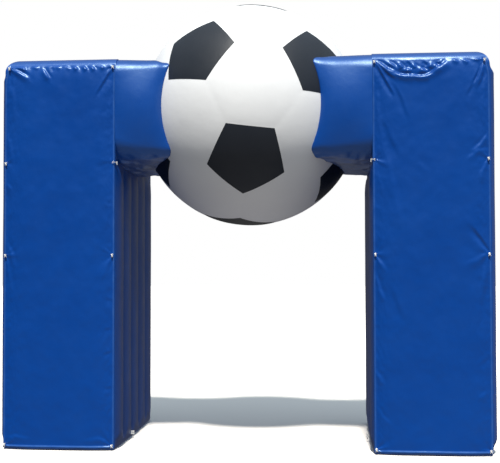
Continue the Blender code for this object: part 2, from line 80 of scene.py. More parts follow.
# Arms, each as the line of its front corner at the leg and at the ball, and of its underside
ARM_TOP = 3.998
ARM_BACK = 0.90
Arm = namedtuple("Arm", "front_at_leg front_at_ball low_at_leg low_at_ball top_drop low_corner top_corner")
ARMS = {-1: Arm(-0.957, -0.834, 2.925, 2.972, 0.036, (0.28, 0.13), (0.18, 0.06)),
        1: Arm(-0.963, -0.884, 2.915, 2.955, 0.016, (0.28, 0.15), (0.19, 0.08))}
ARM_FRONT_BULGE = 0.052
ARM_TOP_BULGE = 0.010
ARM_LOW_BULGE = (0.060, 0.085)
LIP = 0.006                  # the arm's end rounds over towards the ball
LIP_LENGTH = 0.020
LEG_GAP = 0.0025
CUP_GAP = 0.004
CUP_RINGS = (0.86, 0.70, 0.52, 0.34, 0.17)

# Banners
CLOTH = 0.002
BANNER_LOW = 0.018
BANNER_HIGH = 3.925
BANNER_EDGE = 0.003
BANNER_CLEARANCE = 0.007
BANNER_SWELL = 0.044
LEAN_SHORT = {-1: 0.050, 1: 0.080}
LEAN_LONG = 0.20
TOP_CORNER_DRAW = 0.032
DRAW_HEIGHT = 0.22
HEM = 0.028
HEM_BEAD = 0.0045
LOW_BEAD = 0.0080
HEM_STEP = 0.0010
SCALLOP = {-1: 0.012, 1: 0.004}

# Eyelets and ties
EYELET_INSET = 0.018
EYELET_OUTER = 0.0125
EYELET_INNER = 0.0058
EYELET_HALF = 0.0024
RING_WIRE = 0.0035
CORD_RADIUS = 0.003
CORD_LIFT = 0.0045
KNOT = Vector((0.0135, 0.0100, 0.0135))
KNOT_SEAT = 0.55
TIE_END = 0.024
KNOT_INSET = Vector((0.0034, 0.0048, 0.0060))   # how far the middles of its cords lie inside the knot
KNOT_CORD = 0.0036
KNOT_CORE = 0.0062
UP = Vector((0, 0, 1))
SWING = math.radians(22.0)
SWING_CHANGE = math.radians(10.0)
SWING_STEP = math.radians(137.5)
Row = namedtuple("Row", "name height round_corner")
EYELET_ROWS = (Row("foot", 0.052, False), Row("waist", 1.973, False), Row("arm", 2.915, True),
               Row("top", 3.895, False))
CORNER_REACH = 0.020
TAB_HOLE = 0.0065
TAB_STEPS = 40

# Creases of the banners: the points of each, across from the inner seam and up from the ground, and its
# width, height and lean. A ridge has a positive height. The lean puts a shallow trough above it and lets
# it run out slowly below.
LEFT_CREASES = (
    (((1.09, 3.895), (1.03, 3.865), (0.9, 3.775)), 0.019, 0.015, 0.7),
    (((1.08, 3.912), (1.0, 3.905), (0.93, 3.895)), 0.016, 0.012, 0.5),
    (((0.96, 3.885), (0.925, 3.87)), 0.014, 0.01, 0.5),
    (((1.105, 3.88), (1.085, 3.78), (1.06, 3.66)), 0.022, -0.006, 0.3),
    (((1.07, 3.84), (1.065, 3.6), (1.05, 3.38)), 0.026, 0.007, 0.3),
    (((0.745, 3.88), (0.725, 3.84), (0.68, 3.77)), 0.016, 0.014, 0.8),
    (((0.85, 3.905), (0.79, 3.895)), 0.013, 0.008, 0.5),
    (((0.66, 3.9), (0.64, 3.85)), 0.016, -0.006, 0.2),
    (((0.62, 3.905), (0.56, 3.89)), 0.014, 0.008, 0.5),
    (((0.5, 3.9), (0.455, 3.875)), 0.014, 0.01, 0.6),
    (((0.425, 3.905), (0.385, 3.865)), 0.014, 0.013, 0.7),
    (((0.33, 3.905), (0.285, 3.86)), 0.014, 0.014, 0.7),
    (((0.24, 3.9), (0.205, 3.858)), 0.014, 0.012, 0.7),
    (((0.15, 3.905), (0.11, 3.88)), 0.014, 0.01, 0.6),
    (((0.032, 3.87), (0.095, 3.745), (0.182, 3.595)), 0.013, -0.009, 0.8),
    (((0.028, 3.86), (0.05, 3.6), (0.055, 3.3)), 0.022, 0.004, 0.2),
    (((1.12, 3.2), (1.085, 3.05), (1.07, 2.9)), 0.024, 0.005, 0.4),
    (((1.125, 2.7), (1.08, 2.64)), 0.02, 0.005, 0.4),
    (((1.128, 2.1), (1.075, 2.0), (1.05, 1.85)), 0.026, 0.007, 0.5),
    (((1.128, 1.93), (1.09, 1.75), (1.07, 1.58)), 0.026, 0.006, 0.4),
    (((0.02, 2.47), (0.1, 2.48)), 0.014, 0.003, 0.4),
    (((0.022, 1.96), (0.075, 1.88), (0.11, 1.74)), 0.022, 0.004, 0.4),
    (((0.02, 1.5), (0.095, 1.52)), 0.016, -0.004, 0.5),
    (((0.028, 1.22), (0.105, 1.205)), 0.016, -0.004, 0.5),
    (((0.02, 0.99), (0.1, 0.955)), 0.016, -0.005, 0.5),
    (((0.028, 0.63), (0.09, 0.61)), 0.016, -0.003, 0.5),
    (((1.125, 0.1), (1.02, 0.13), (0.86, 0.1)), 0.022, 0.004, 0.4),
    (((0.03, 0.08), (0.16, 0.11), (0.3, 0.09)), 0.022, 0.004, 0.4),
)
RIGHT_CREASES = (
    (((0.05, 3.885), (0.14, 3.81), (0.255, 3.745)), 0.023, 0.019, 0.8),
    (((0.235, 3.752), (0.33, 3.732), (0.42, 3.728)), 0.02, 0.02, 0.8),
    (((0.4, 3.735), (0.48, 3.722), (0.57, 3.738)), 0.018, 0.017, 0.8),
    (((0.55, 3.735), (0.64, 3.795), (0.75, 3.88)), 0.022, 0.018, 0.8),
    (((0.155, 3.885), (0.215, 3.835), (0.245, 3.795)), 0.018, 0.014, 0.6),
    (((0.265, 3.87), (0.3, 3.815)), 0.017, 0.017, 0.8),
    (((0.32, 3.805), (0.385, 3.785)), 0.02, 0.018, 0.8),
    (((0.345, 3.88), (0.372, 3.835)), 0.016, -0.011, 0.2),
    (((0.4, 3.86), (0.425, 3.815)), 0.016, 0.012, 0.7),
    (((0.468, 3.812), (0.53, 3.772)), 0.018, 0.019, 0.9),
    (((0.5, 3.88), (0.535, 3.835)), 0.016, -0.01, 0.3),
    (((0.575, 3.865), (0.56, 3.815)), 0.017, 0.012, 0.7),
    (((0.61, 3.85), (0.655, 3.815)), 0.017, 0.016, 0.8),
    (((0.69, 3.9), (0.66, 3.865)), 0.013, 0.009, 0.5),
    (((0.79, 3.9), (0.85, 3.868)), 0.014, 0.011, 0.7),
    (((0.89, 3.895), (0.945, 3.862)), 0.014, 0.012, 0.7),
    (((1.0, 3.905), (1.06, 3.89)), 0.014, 0.01, 0.5),
    (((0.03, 3.87), (0.11, 3.71), (0.2, 3.54)), 0.014, -0.013, 0.8),
    (((0.055, 3.865), (0.15, 3.76), (0.215, 3.7)), 0.013, -0.009, 0.6),
    (((0.21, 3.64), (0.265, 3.52), (0.325, 3.32)), 0.02, -0.007, 0.6),
    (((0.024, 3.85), (0.04, 3.45), (0.095, 3.0)), 0.024, 0.006, 0.4),
    (((0.11, 3.25), (0.16, 3.1), (0.235, 2.92)), 0.03, -0.007, 0.6),
    (((0.11, 3.05), (0.19, 2.65), (0.26, 2.2)), 0.036, 0.005, 0.5),
    (((0.44, 2.88), (0.52, 2.77)), 0.03, 0.003, 0.5),
    (((1.09, 3.85), (1.04, 3.715), (0.985, 3.62)), 0.015, 0.011, 0.8),
    (((1.06, 3.8), (0.99, 3.64), (0.935, 3.53)), 0.016, -0.008, 0.6),
    (((1.105, 3.8), (1.08, 3.69), (1.04, 3.6)), 0.014, -0.006, 0.4),
    (((1.11, 3.7), (1.085, 3.45), (1.09, 3.2)), 0.026, 0.005, 0.4),
    (((1.125, 3.15), (1.06, 3.05), (0.975, 2.97)), 0.02, 0.009, 0.7),
    (((1.125, 3.0), (1.03, 2.98), (0.93, 2.9)), 0.02, 0.006, 0.6),
    (((1.12, 2.86), (1.07, 2.78), (1.05, 2.66)), 0.022, 0.006, 0.5),
    (((1.118, 2.0), (1.04, 2.115), (0.95, 2.225)), 0.017, -0.013, 0.6),
    (((1.118, 1.96), (1.095, 1.8), (1.06, 1.64)), 0.022, 0.008, 0.6),
    (((1.11, 1.965), (1.0, 1.9), (0.9, 1.87)), 0.026, 0.005, 0.5),
    (((1.115, 1.7), (1.06, 1.45), (1.04, 1.24)), 0.028, -0.005, 0.4),
    (((0.024, 1.955), (0.07, 1.88), (0.12, 1.8)), 0.02, 0.006, 0.5),
    (((0.022, 1.76), (0.055, 1.62), (0.105, 1.5)), 0.02, 0.009, 0.7),
    (((0.14, 1.66), (0.2, 1.5), (0.26, 1.33)), 0.03, -0.005, 0.5),
    (((0.022, 0.82), (0.06, 0.74), (0.085, 0.68)), 0.022, 0.005, 0.5),
    (((0.022, 0.47), (0.075, 0.37), (0.135, 0.3)), 0.022, 0.006, 0.6),
    (((1.12, 0.95), (1.04, 0.86)), 0.026, -0.004, 0.5),
    (((1.1, 0.62), (1.02, 0.55)), 0.026, 0.004, 0.5),
)
CREASES = {-1: LEFT_CREASES, 1: RIGHT_CREASES}

# Sun, in degrees up from the ground and aside from straight in front
SUN_HEIGHT = 62.0
SUN_ASIDE = 1.0

# Camera, from the fit to the photograph
CAMERA_PLACE = Vector((0.951, -10.734, 1.885))
CAMERA_YAW = 5.11
CAMERA_PITCH = 1.86
CAMERA_ROLL = 0.11
FOCAL = 70.46
SENSOR = 36.0


# Small tools

def ease(value):
    value = min(max(value, 0.0), 1.0)
    return value * value * (3.0 - 2.0 * value)


def quarter(value):
    value = min(max(value, 0.0), 1.0)
    return math.sqrt(1.0 - (1.0 - value) ** 2)


def bell(value, width):
    return math.exp(-(value / width) ** 2)


def blend(first, last, part):
    return first + (last - first) * part


def heading(angle):
    return Vector((math.cos(angle), math.sin(angle)))


def full_turn(steps):
    return [math.tau * step / steps for step in range(steps)]


def ripple(x, y, z):
    return noise.noise(Vector((x, y, z)))


def side_name(side):
    return "right" if side > 0 else "left"


def finish_piece(mesh, work, material):
    """The piece with its faces turned outward, shaded smoothly and riding on the part."""
    bmesh.ops.recalc_face_normals(work, faces=work.faces)
    work.to_mesh(mesh)
    work.free()
    mesh.shade_smooth()
    mesh.set_sharp_from_angle(angle=math.radians(50))
    mesh.materials.append(material)
    item = bpy.data.objects.new(mesh.name, mesh)
    bpy.context.scene.collection.objects.link(item)
    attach(item, "root")
    return item


def add_piece(name, points, faces, material):
    mesh = bpy.data.meshes.new(name)
    mesh.from_pydata([tuple(p) for p in points], [], faces)
    mesh.validate()
    work = bmesh.new()
    work.from_mesh(mesh)
    return finish_piece(mesh, work, material)


def ring_faces(rings, count, closed=False):
    """Faces between rings of points that are stored one after the other."""
    faces = []
    for ring in range(rings if closed else rings - 1):
        low = ring * count
        high = (ring + 1) % rings * count
        for index in range(count):
            following = (index + 1) % count
            faces.append((low + index, low + following, high + following, high + index))
    return faces


def grid_faces(table):
    """Faces of a grid, from its rows of point numbers."""
    faces = []
    for lower, upper in zip(table, table[1:]):
        for column in range(len(lower) - 1):
            faces.append((lower[column], lower[column + 1], upper[column + 1], upper[column]))
    return faces


# Materials

def new_material(name):
    material = bpy.data.materials.new(name)
    material.use_nodes = True
    return material, material.node_tree.nodes, material.node_tree.links


def set_values(node, values):
    for name, value in values.items():
        node.inputs[name].default_value = value
    return node


def texture_node(nodes, links, kind, values):
    """A texture that stays with its piece."""
    coordinates = nodes.new("ShaderNodeTexCoord")
    texture = set_values(nodes.new(kind), values)
    links.new(coordinates.outputs["Object"], texture.inputs["Vector"])
    return texture


def noise_node(nodes, links, scale, detail=3.0, roughness=0.5):
    values = {"Scale": scale, "Detail": detail, "Roughness": roughness}
    return texture_node(nodes, links, "ShaderNodeTexNoise", values).outputs["Fac"]


def ramp(nodes, links, source, low, high, start=0.3, end=0.7):
    node = set_values(nodes.new("ShaderNodeMapRange"),
                      {"From Min": start, "From Max": end, "To Min": low, "To Max": high})
    links.new(source, node.inputs["Value"])
    return node.outputs["Result"]


def mix_colors(nodes, links, factor, first, second):
    """A mix of two colours, each a socket or red, green and blue."""
    node = nodes.new("ShaderNodeMix")
    node.data_type = "RGBA"
    links.new(factor, node.inputs["Factor"])
    for name, color in (("A", first), ("B", second)):
        if isinstance(color, bpy.types.NodeSocket):
            links.new(color, node.inputs[name])
        else:
            node.inputs[name].default_value = (*color, 1.0)
    return node.outputs["Result"]


def bump_chain(nodes, links, shader, layers):
    """Bumps one after the other, each as (height socket, distance in metres, strength)."""
    previous = None
    for height, distance, strength in layers:
        bump = set_values(nodes.new("ShaderNodeBump"), {"Distance": distance, "Strength": strength})
        links.new(height, bump.inputs["Height"])
        if previous is not None:
            links.new(previous, bump.inputs["Normal"])
        previous = bump.outputs["Normal"]
    links.new(previous, shader.inputs["Normal"])
    links.new(previous, shader.inputs["Coat Normal"])


def weave_height(nodes, links, pitch):
    """The crossing threads of the base cloth that print through the coating."""
    both = nodes.new("ShaderNodeMath")
    both.operation = "MULTIPLY"
    for index, axis in enumerate("XZ"):
        wave = texture_node(nodes, links, "ShaderNodeTexWave", {"Scale": 0.25 / math.pi / pitch})
        wave.bands_direction = axis
        links.new(wave.outputs["Fac"], both.inputs[index])
    return both.outputs["Value"]


def paint_shade_on_upward_faces(nodes, links, color, level):
    """Painted shade: faces that look up get a darker colour, which tones down their sunlit brightness."""
    geometry = nodes.new("ShaderNodeNewGeometry")
    split = nodes.new("ShaderNodeSeparateXYZ")
    links.new(geometry.outputs["Normal"], split.inputs["Vector"])
    shade = nodes.new("ShaderNodeVectorMath")
    shade.operation = "SCALE"
    links.new(color, shade.inputs[0])
    links.new(ramp(nodes, links, split.outputs["Z"], 1.0, level, 0.55, 0.95), shade.inputs["Scale"])
    return shade.outputs["Vector"]


# The hem colour is a painted highlight along the hems.
# The last field scales the painted shade on faces that look up.
Cloth = namedtuple("Cloth", "shade light roughness specular shine coat grain wrinkle hem tops",
                   defaults=((1.0, 1.0, 1.0), (0.0, 0.3), 0.0004, 0.004, None, None))


def coated_cloth(name, look):
    """Coated cloth: nearly even colour, a soft shine, the grain of the cloth and faint small wrinkles."""
    material, nodes, links = new_material(name)
    shader = nodes["Principled BSDF"]
    cloud = ramp(nodes, links, noise_node(nodes, links, 1.3, 4.0), 0.0, 1.0)
    color = mix_colors(nodes, links, cloud, look.shade, look.light)
    # painted highlight: a paler colour along the hems, from the hem attribute
    if look.hem is not None:
        share = nodes.new("ShaderNodeAttribute")
        share.attribute_name = "hem"
        color = mix_colors(nodes, links, share.outputs["Fac"], color, look.hem)
    # painted shade: faces that look up are darkened
    if look.tops is not None:
        color = paint_shade_on_upward_faces(nodes, links, color, look.tops)
    links.new(color, shader.inputs["Base Color"])
    patch = noise_node(nodes, links, 5.0, 5.0, 0.6)
    roughness = ramp(nodes, links, patch, look.roughness - 0.05, look.roughness + 0.07)
    links.new(roughness, shader.inputs["Roughness"])
    set_values(shader, {"Specular IOR Level": look.specular, "Specular Tint": (*look.shine, 1.0),
                        "Coat Weight": look.coat[0], "Coat Roughness": look.coat[1]})
    bump_chain(nodes, links, shader, (
        (noise_node(nodes, links, 7.0, 3.0, 0.55), look.wrinkle * 2.2, 0.35),
        (noise_node(nodes, links, 34.0, 3.0, 0.6), look.wrinkle * 0.25, 0.25),
        (noise_node(nodes, links, 210.0, 1.0, 0.5), look.grain, 1.0),
        (weave_height(nodes, links, 0.0011), 0.00006, 0.35),
    ))
    return material


def plain_metal(name, color, roughness):
    material, nodes, links = new_material(name)
    shader = nodes["Principled BSDF"]
    shader.inputs["Metallic"].default_value = 1.0
    patch = noise_node(nodes, links, 90.0, 4.0)
    links.new(mix_colors(nodes, links, patch, [c * 0.85 for c in color], color), shader.inputs["Base Color"])
    links.new(ramp(nodes, links, patch, roughness - 0.08, roughness + 0.1), shader.inputs["Roughness"])
    bump_chain(nodes, links, shader, ((noise_node(nodes, links, 600.0, 2.0), 0.0001, 0.3),))
    return material


def braided(name, color):
    material, nodes, links = new_material(name)
    shader = nodes["Principled BSDF"]
    fuzz = noise_node(nodes, links, 160.0, 4.0)
    links.new(mix_colors(nodes, links, fuzz, [c * 0.82 for c in color], color), shader.inputs["Base Color"])
    set_values(shader, {"Roughness": 0.85, "Sheen Weight": 0.25})
    strand = texture_node(nodes, links, "ShaderNodeTexWave", {"Scale": 95.0, "Distortion": 0.6})
    strand.bands_direction = "DIAGONAL"
    bump_chain(nodes, links, shader, ((strand.outputs["Fac"], 0.0006, 0.8), (fuzz, 0.0003, 0.5)))
    return material


# the blue cloth carries painted shade on faces that look up
BLUE = coated_cloth("blue_coated_cloth", Cloth(
    (0.0010, 0.052, 0.290), (0.0015, 0.058, 0.315), 0.37, 0.58, (0.50, 0.80, 1.0), (0.16, 0.30), 0.0007,
    tops=0.50))
# the banner's last colour is a painted highlight along its hems
BANNER_BLUE = coated_cloth("blue_banner_cloth", Cloth(
    (0.0006, 0.047, 0.276), (0.0009, 0.052, 0.296), 0.34, 0.48, (0.42, 0.74, 1.0), (0.20, 0.26), 0.0005,
    0.003, (0.030, 0.105, 0.36)))
WHITE = coated_cloth("white_coated_cloth", Cloth(
    (0.76, 0.765, 0.78), (0.80, 0.805, 0.815), 0.50, 0.40, wrinkle=0.003))
BLACK = coated_cloth("black_coated_cloth", Cloth(
    (0.012, 0.016, 0.024), (0.016, 0.020, 0.029), 0.48, 0.28, grain=0.0012, wrinkle=0.003))
METAL = plain_metal("plated_metal", (0.78, 0.79, 0.80), 0.28)
CORD_WHITE = braided("white_braided_cord", (0.82, 0.82, 0.80))


# Legs

def top_share(height):
    """1 up to the top's roll, and from there down a quarter circle to 0 at the top."""
    above = max(height - (HEIGHT - TOP_ROLL_HEIGHT), 0.0) / TOP_ROLL_HEIGHT
    return math.sqrt(max(1.0 - above * above, 0.0))


def roll_in(height, reach):
    inset = BASE_ROLL * (1.0 - quarter(height / BASE_ROLL_HEIGHT))
    return inset + reach * (1.0 - top_share(height))


def cell_share(height):
    foot = ease((height - FOOT_MERGE) / (FOOT_HEIGHT - FOOT_MERGE))
    return foot * ease((HEIGHT - TOP_ROLL_HEIGHT - height) / TOP_MERGE)


def swell_share(name, height):
    share = quarter(height / FOOT_HEIGHT)
    if name == "inner":
        return share * quarter((ARM_SEAT - height) / SEAT_ROLL)
    return share * top_share(height)


def wall_swell(name, cells, along, height):
    place = (along * cells) % 1.0
    cell = 4.0 * place * (1.0 - place)
    merged = 0.8 * (1.0 - abs(2.0 * along - 1.0) ** 4)
    share = cell_share(height)
    return CELL_DEPTH[name] * swell_share(name, height) * (share * cell + (1.0 - share) * merged)


def seam_pucker(distance, height, seed):
    """Short creases that cross a welded seam, strongest at the seam."""
    wave = ripple(height * 19.0, seed * 3.7, 0.5)
    fine = ripple(height * 47.0, seed * 5.1, 2.5)
    return math.exp(-distance / 0.032) * (0.0030 * wave + 0.0014 * fine)


def leg_wrinkle(name, cells, along, height, length, seed):
    place = (along * cells) % 1.0
    distance = min(place, 1.0 - place) * length / cells
    seam = round(along * cells)
    metres = along * length
    lift = seam_pucker(distance, height, seed + seam + 11 * WALL_INDEX[name]) * cell_share(height)
    foot = bell(height - 0.22, 0.13) * ripple(metres * 15.0, height * 3.5, seed)
    top = bell(height - 3.80, 0.09) * ripple(metres * 17.0, height * 5.0, seed + 4.0)
    slack = ripple(metres * 2.2, height * 1.3, seed + 9.0)
    fade = ease(height / 0.05) * ease((HEIGHT - height) / 0.05)
    if name == "inner":
        top = bell(height - (ARM_SEAT - 0.10), 0.10) * ripple(metres * 16.0, height * 5.0, seed)
        fade *= ease((ARM_SEAT - height) / 0.05)
    return fade * (lift + 0.0042 * foot + 0.0038 * top + 0.0040 * slack)


def leg_heights():
    """Close together in the foot and in the top's roll, and even between them."""
    foot_count, middle_count, top_count = ((40, 78, 30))
    low_top = HEIGHT - TOP_ROLL_HEIGHT - TOP_MERGE
    foot = [FOOT_HEIGHT * (i / foot_count) ** 1.3 for i in range(foot_count)]
    middle = [FOOT_HEIGHT + (low_top - FOOT_HEIGHT) * i / middle_count for i in range(middle_count)]
    rises = [math.sin(0.5 * math.pi * i / top_count) for i in range(top_count + 1)]
    return foot + middle + [blend(low_top, HEIGHT, rise) for rise in rises]


def leg_outline(height, seed, steps):
    front = FRONT + roll_in(height, TOP_ROLL)
    back = BACK - roll_in(height, TOP_ROLL)
    outer = OUTER - roll_in(height, SHOULDER_ROLL)
    inner = INNER + roll_in(height, 0.0)
    corners = (Vector((inner, front)), Vector((outer, front)), Vector((outer, back)), Vector((inner, back)))
    points = []
    for (name, cells), start, end in zip(WALLS, corners, corners[1:] + corners[:1]):
        run = end - start
        along = run.normalized()
        outward = Vector((along.y, -along.x))
        count = cells * steps
        for step in range(count):
            part = step / count
            swell = wall_swell(name, cells, part, height)
            swell += leg_wrinkle(name, cells, part, height, run.length, seed)
            flat = start.lerp(end, part) + outward * swell
            points.append(Vector((flat.x, flat.y, height)))
    return points


def build_leg(side):
    steps = 16
    seed = 3.0 if side > 0 else 17.0
    points = []
    heights = leg_heights()
    for height in heights:
        points += [Vector((side * p.x, p.y, p.z)) for p in leg_outline(height, seed, steps)]
    count = 16 * steps
    faces = ring_faces(len(heights), count)
    faces.append(tuple(range(count)))
    faces += top_grid(points, (len(heights) - 1) * count, 3 * steps, 5 * steps, seed)
    leg = add_piece(side_name(side) + "_leg_skin", points, faces, BLUE)
    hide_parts(side_name(side) + "_leg")


def top_grid(points, first, across, deep, seed):
    """The top panel, as a grid that joins the four walls."""
    table = [[first + column for column in range(across + 1)]]
    far = [first + 2 * across + deep - column for column in range(across + 1)]
    for row in range(1, deep):
        line = [first + 2 * (across + deep) - row]
        v = row / deep
        for column in range(1, across):
            u = column / across
            near = points[first + column].lerp(points[far[column]], v)
            edge = min(1.0, 16.0 * u * (1.0 - u) * v * (1.0 - v))
            cells = abs(math.sin(3.0 * math.pi * u)) * abs(math.sin(5.0 * math.pi * v))
            wave = ripple(near.x * 6.0, near.y * 6.0, seed)
            line.append(len(points))
            points.append(near + UP * (0.003 * edge + 0.004 * cells * edge + 0.0015 * wave * edge))
        table.append(line + [first + across + row])
    return grid_faces(table + [far])


# Arms

def arm_outline(arm, part, fine):
    """A rounded box whose four sides bulge. Corners and sides are arcs that meet without a kink."""
    front = blend(arm.front_at_leg, arm.front_at_ball, part ** 1.5)
    low = blend(arm.low_at_leg, arm.low_at_ball, part)
    top = ARM_TOP - arm.top_drop * ease((part - 0.72) / 0.28)
    bulge = ARM_FRONT_BULGE * arm_swell(part)
    a = blend(*arm.low_corner, part)
    b = blend(*arm.top_corner, part ** 5)
    sides = ((blend(*ARM_LOW_BULGE, part), 10 * fine), (bulge, 6 * fine),
             (ARM_TOP_BULGE, 10 * fine), (bulge, 6 * fine))
    corners = ((Vector((front + a, low + a)), a), (Vector((ARM_BACK - a, low + a)), a),
               (Vector((ARM_BACK - b, top - b)), b), (Vector((front + b, top - b)), b))
    following = corners[1:] + corners[:1]
    turns = []
    for side, here, there in zip(sides, corners, following):
        turns.append(max(4.0 * side[0] / ((there[0] - here[0]).length + 0.06), 0.004))
    corner_steps = 4 * fine
    points = []
    for index, (height, steps) in enumerate(sides):
        middle, r = corners[index]
        next_middle, next_r = following[index]
        turn = turns[index]
        face = math.radians(270.0 + 90.0 * index)
        start = math.radians(180.0 + 90.0 * index) + turns[index - 1]
        end = face - turn
        for step in range(corner_steps + 1):
            points.append(middle + heading(start + (end - start) * step / corner_steps) * r)
        first = points[-1].copy()
        last = next_middle + heading(face + turn) * next_r
        radius = (last - first).length / (2.0 * math.sin(turn))
        centre = (first + last) / 2 - heading(face) * radius * math.cos(turn)
        for step in range(1, steps):
            points.append(centre + heading(face - turn + 2.0 * turn * step / steps) * radius)
    return points


def ball_x(y, z):
    """How far out the arm's cup is here."""
    reach = (BALL_RADIUS + CUP_GAP) ** 2 - y * y - (z - BALL_MIDDLE.z) ** 2
    return math.sqrt(max(reach, 0.01))


def arm_swell(part):
    """Small at the seam on the leg, full in the middle and about half at the ball."""
    return 0.18 + 0.82 * math.sin(math.pi * min(part * 0.86, 1.0)) ** 0.8


def arm_relief(travelled, part, x, under, to_ball, to_leg, seed):
    """Puckers at both ends, folds on the underside and a little slack everywhere."""
    pucker = ripple(travelled * 15.0, part * 2.0, seed)
    pucker += 0.5 * ripple(travelled * 33.0, part * 3.0, seed + 3.0)
    crossing = ripple(travelled * 11.0, part * 3.0, seed + 5.0)
    slack = ripple(travelled * 2.5, x * 3.0, seed + 2.0)
    folds = ripple(travelled * 7.0, x * 5.0, seed + 8.0)
    folds += 0.8 * ripple(travelled * 16.0, x * 13.0, seed + 11.0)
    lift = (0.0030 + 0.0125 * under) * pucker * math.exp(-to_ball / (0.05 + 0.14 * under))
    lift += 0.0025 * crossing * math.exp(-to_leg / 0.06) + 0.0025 * slack + 0.014 * under * folds
    return lift * ease(to_leg / 0.01)


def build_arm(side):
    arm = ARMS[side]
    fine = 4
    stations = 60
    seed = 5.0 if side > 0 else 23.0
    start = INNER + LEG_GAP
    points = []
    middle = Vector(((arm.front_at_ball + ARM_BACK) / 2, (arm.low_at_ball + ARM_TOP) / 2))
    for station in range(stations + 1):
        part = ease(station / stations) * 0.4 + station / stations * 0.6
        outline = arm_outline(arm, part, fine)
        travelled = 0.0
        for index, point in enumerate(outline):
            travelled += (point - outline[index - 1]).length if index else 0.0
            end = ball_x(point.x, point.y)
            x = blend(start, end, part)
            to_ball = (1.0 - part) * (start - end)
            to_leg = part * (start - end)
            under = ease((arm.low_at_leg + 0.16 - point.y) / 0.14)
            lip = LIP * (1.0 - quarter(to_ball / LIP_LENGTH))
            inset = lip - arm_relief(travelled, part, x, under, to_ball, to_leg, seed)
            moved = point + (middle - point).normalized() * inset
            points.append(Vector((side * x, moved.x, moved.y)))
    count = len(outline)
    rim = [point.copy() for point in points[-count:]]
    for share in CUP_RINGS:
        for point in rim:
            y = blend(middle.x, point.y, share)
            z = blend(middle.y, point.z, share)
            points.append(Vector((side * ball_x(y, z), y, z)))
    faces = ring_faces(stations + 1 + len(CUP_RINGS), count)
    faces.append(tuple(range(count)))
    faces.append(tuple(range(len(points) - count, len(points))))
    item = add_piece(side_name(side) + "_arm_skin", points, faces, BLUE)
    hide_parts(side_name(side) + "_arm")


# Ball

def ball_tips():
    golden = (1.0 + math.sqrt(5.0)) / 2.0
    tips = []
    for a in (-1.0, 1.0):
        for b in (-golden, golden):
            tips += [Vector((0, a, b)), Vector((a, b, 0)), Vector((b, 0, a))]
    turn = Matrix.Rotation(BALL_TURN, 3, BALL_AXIS.normalized())
    return [(turn @ tip).normalized() for tip in tips]


def ball_patches():
    tips = ball_tips()
    beside = 1 / math.sqrt(5.0)
    near = {i: [j for j in range(12) if abs(tips[i].dot(tips[j]) - beside) < 1e-4] for i in range(12)}
    fives = []
    for i in range(12):
        corners = [((2 * tips[i] + tips[j]) / 3).normalized() for j in near[i]]
        first = (corners[0] - tips[i] * tips[i].dot(corners[0])).normalized()
        second = tips[i].cross(first)
        fives.append((tips[i], sorted(corners, key=lambda c: math.atan2(c.dot(second), c.dot(first)))))
    sixes = []
    for i in range(12):
        for j in near[i]:
            for k in near[i]:
                if i < j < k and k in near[j]:
                    pairs = ((i, j), (j, i), (j, k), (k, j), (k, i), (i, k))
                    corners = [((2 * tips[a] + tips[b]) / 3).normalized() for a, b in pairs]
                    sixes.append(((tips[i] + tips[j] + tips[k]).normalized(), corners))
    return fives, sixes


def skin_radius(unit, edge_distance):
    """The ball's radius here: each patch puffs out a little between its seams."""
    puff = 0.0026 * (1.0 - math.exp(-edge_distance / 0.05)) - 0.0020
    pucker = 0.0012 * math.exp(-edge_distance / 0.04) * noise.noise(unit * 34.0)
    slack = 0.0015 * noise.noise(unit * 4.0 + Vector((1, 0, 0)))
    return BALL_RADIUS + puff + pucker + slack


def add_patch(work, middle, corners, steps, lift):
    """One patch of the skin, its points on a triangle grid in each of its slices."""
    for index, a in enumerate(corners):
        b = corners[(index + 1) % len(corners)]
        cut = a.cross(b).normalized()
        rows = []
        for row in range(steps + 1):
            line = []
            for column in range(row + 1):
                toward_b = column / steps
                toward_a = (row - column) / steps
                unit = (middle * (1.0 - toward_a - toward_b) + a * toward_a + b * toward_b).normalized()
                edge_distance = abs(unit.dot(cut)) * BALL_RADIUS
                radius = skin_radius(unit, edge_distance) + lift
                line.append(work.verts.new(BALL_MIDDLE + unit * radius))
            rows.append(line)
        for upper, lower in zip(rows, rows[1:]):
            for column in range(len(upper)):
                work.faces.new((upper[column], lower[column], lower[column + 1]))
                if column + 1 < len(upper):
                    work.faces.new((upper[column], lower[column + 1], upper[column + 1]))
    bmesh.ops.remove_doubles(work, verts=work.verts, dist=1e-5)


def build_ball():
    steps = 18
    fives, sixes = ball_patches()
    work = bmesh.new()
    for middle, corners in fives + sixes:
        add_patch(work, middle, corners, steps, 0.0)
    ball = finish_piece(bpy.data.meshes.new("ball_skin"), work, WHITE)
    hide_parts("ball")
    for number, (middle, corners) in enumerate(fives):
        build_dark_panel(number, middle, corners, steps)


def build_dark_panel(number, middle, corners, steps):
    work = bmesh.new()
    add_patch(work, middle, corners, steps, PANEL_LIFT)
    made = bmesh.ops.extrude_face_region(work, geom=list(work.faces), use_keep_orig=True)
    for item in made["geom"]:
        if isinstance(item, bmesh.types.BMVert):
            item.co += (item.co - BALL_MIDDLE).normalized() * PANEL_CLOTH
    panel = finish_piece(bpy.data.meshes.new(f"dark_patch_{number:02d}"), work, BLACK)
    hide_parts(f"dark_panel_{number:02d}")


# Banners

